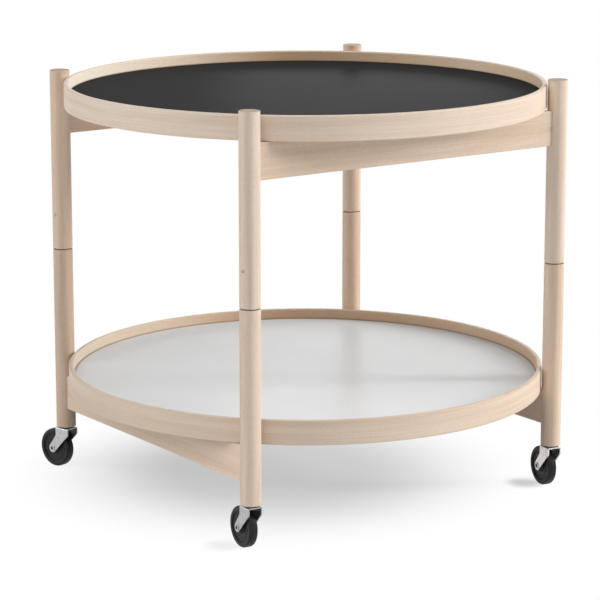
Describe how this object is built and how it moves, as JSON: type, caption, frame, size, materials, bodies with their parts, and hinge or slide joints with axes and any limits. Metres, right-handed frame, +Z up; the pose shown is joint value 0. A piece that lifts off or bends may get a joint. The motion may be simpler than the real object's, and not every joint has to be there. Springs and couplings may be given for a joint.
{
  "type": "tray table",
  "caption": "Round tray table on swivel castors: lift-off trays with raised wooden rims rest on the rails of a folding leg frame, one above the other.",
  "frame": {"origin": "on the floor under the middle of the table", "axes": "+Z up, +X along the upper rails from the front leg to the right leg, +Y along the lower rails from the front leg to the left leg"},
  "size_m": [0.5999, 0.6, 0.5203],
  "materials": {
    "beech": "soaped pale beech, satin",
    "laminate_black": "matt laminate",
    "laminate_light": "satin laminate",
    "panel_core": "raw fibreboard",
    "zinc_steel": "zinc-plated pressed sheet",
    "dark_steel": "blackened steel",
    "nylon": "black nylon",
    "nylon_tan": "tan nylon",
    "wheel_black": "moulded black wheel"
  },
  "bodies": {
    "lower_frame_left": {"lower_rail_left": "beech", "lower_leg_left": "beech", "pivot_washer_left": "nylon_tan", "castor_cap_left": "nylon", "castor_stem_left": "zinc_steel", "lower_leg_front": "beech", "pivot_washer_front": "nylon_tan", "castor_cap_front": "nylon", "castor_stem_front": "zinc_steel"},
    "upper_frame_front": {"upper_rail_front": "beech", "upper_leg_front": "beech", "pivot_rod_front": "dark_steel", "lock_pin_front": "zinc_steel", "upper_leg_right": "beech", "pivot_rod_right": "dark_steel", "lock_pin_right": "zinc_steel"},
    "upper_frame_back": {"upper_rail_back": "beech", "upper_leg_left": "beech", "pivot_rod_left": "dark_steel", "lock_pin_left": "zinc_steel", "upper_leg_back": "beech", "pivot_rod_back": "dark_steel", "lock_pin_back": "zinc_steel"},
    "lower_frame_right": {"lower_rail_right": "beech", "lower_leg_right": "beech", "pivot_washer_right": "nylon_tan", "castor_cap_right": "nylon", "castor_stem_right": "zinc_steel", "lower_leg_back": "beech", "pivot_washer_back": "nylon_tan", "castor_cap_back": "nylon", "castor_stem_back": "zinc_steel"},
    "upper_tray": {"upper_tray_rim": "beech", "upper_tray_core": "panel_core", "upper_tray_top_laminate": "laminate_black", "upper_tray_under_laminate": "laminate_light"},
    "lower_tray": {"lower_tray_rim": "beech", "lower_tray_core": "panel_core", "lower_tray_top_laminate": "laminate_light", "lower_tray_under_laminate": "laminate_black"},
    "castor_left": {"castor_fork_left": "zinc_steel", "castor_axle_left": "zinc_steel"},
    "wheel_left": {"castor_wheel_left": "wheel_black"},
    "castor_front": {"castor_fork_front": "zinc_steel", "castor_axle_front": "zinc_steel"},
    "wheel_front": {"castor_wheel_front": "wheel_black"},
    "castor_right": {"castor_fork_right": "zinc_steel", "castor_axle_right": "zinc_steel"},
    "wheel_right": {"castor_wheel_right": "wheel_black"},
    "castor_back": {"castor_fork_back": "zinc_steel", "castor_axle_back": "zinc_steel"},
    "wheel_back": {"castor_wheel_back": "wheel_black"}
  },
  "joints": [
    {"name": "fold_front", "type": "hinge", "parent": "lower_frame_left", "child": "upper_frame_front", "pos_m": [-0.22811, -0.21476, 0.29175], "axis": [0, 0, 1], "range_deg": [-0.1, 0.1]},
    {"name": "fold_left", "type": "hinge", "parent": "lower_frame_left", "child": "upper_frame_back", "pos_m": [-0.22811, 0.21476, 0.29175], "axis": [0, 0, 1], "range_deg": [-0.1, 0.1]},
    {"name": "fold_right", "type": "hinge", "parent": "upper_frame_front", "child": "lower_frame_right", "pos_m": [0.22811, -0.21476, 0.29175], "axis": [0, 0, 1], "range_deg": [-0.1, 0.1]},
    {"name": "upper_tray_lift", "type": "slide", "parent": "upper_frame_front", "child": "upper_tray", "axis": [0, 0, 1], "range_m": [0, 0.15]},
    {"name": "lower_tray_lift", "type": "slide", "parent": "lower_frame_left", "child": "lower_tray", "axis": [0, 0, 1], "range_m": [0, 0.28]},
    {"name": "swivel_left", "type": "hinge", "parent": "lower_frame_left", "child": "castor_left", "pos_m": [-0.22811, 0.21476, 0.05465], "axis": [0, 0, 1], "continuous": true},
    {"name": "roll_left", "type": "hinge", "parent": "castor_left", "child": "wheel_left", "pos_m": [-0.23265, 0.23114, 0.025], "axis": [-0.9636, -0.2672, 0], "continuous": true},
    {"name": "swivel_front", "type": "hinge", "parent": "lower_frame_left", "child": "castor_front", "pos_m": [-0.22811, -0.21476, 0.05465], "axis": [0, 0, 1], "continuous": true},
    {"name": "roll_front", "type": "hinge", "parent": "castor_front", "child": "wheel_front", "pos_m": [-0.22672, -0.19782, 0.025], "axis": [-0.9966, 0.0819, 0], "continuous": true},
    {"name": "swivel_right", "type": "hinge", "parent": "lower_frame_right", "child": "castor_right", "pos_m": [0.22811, -0.21476, 0.05465], "axis": [0, 0, 1], "continuous": true},
    {"name": "roll_right", "type": "hinge", "parent": "castor_right", "child": "wheel_right", "pos_m": [0.23127, -0.19806, 0.025], "axis": [-0.9826, 0.1857, 0], "continuous": true},
    {"name": "swivel_back", "type": "hinge", "parent": "lower_frame_right", "child": "castor_back", "pos_m": [0.22811, 0.21476, 0.05465], "axis": [0, 0, 1], "continuous": true},
    {"name": "roll_back", "type": "hinge", "parent": "castor_back", "child": "wheel_back", "pos_m": [0.22752, 0.23175, 0.025], "axis": [-0.9994, -0.0349, 0], "continuous": true}
  ],
  "couplings": [
    {"joint": "fold_left", "follows": "fold_front", "ratio": 1},
    {"joint": "fold_right", "follows": "fold_front", "ratio": -1}
  ]
}
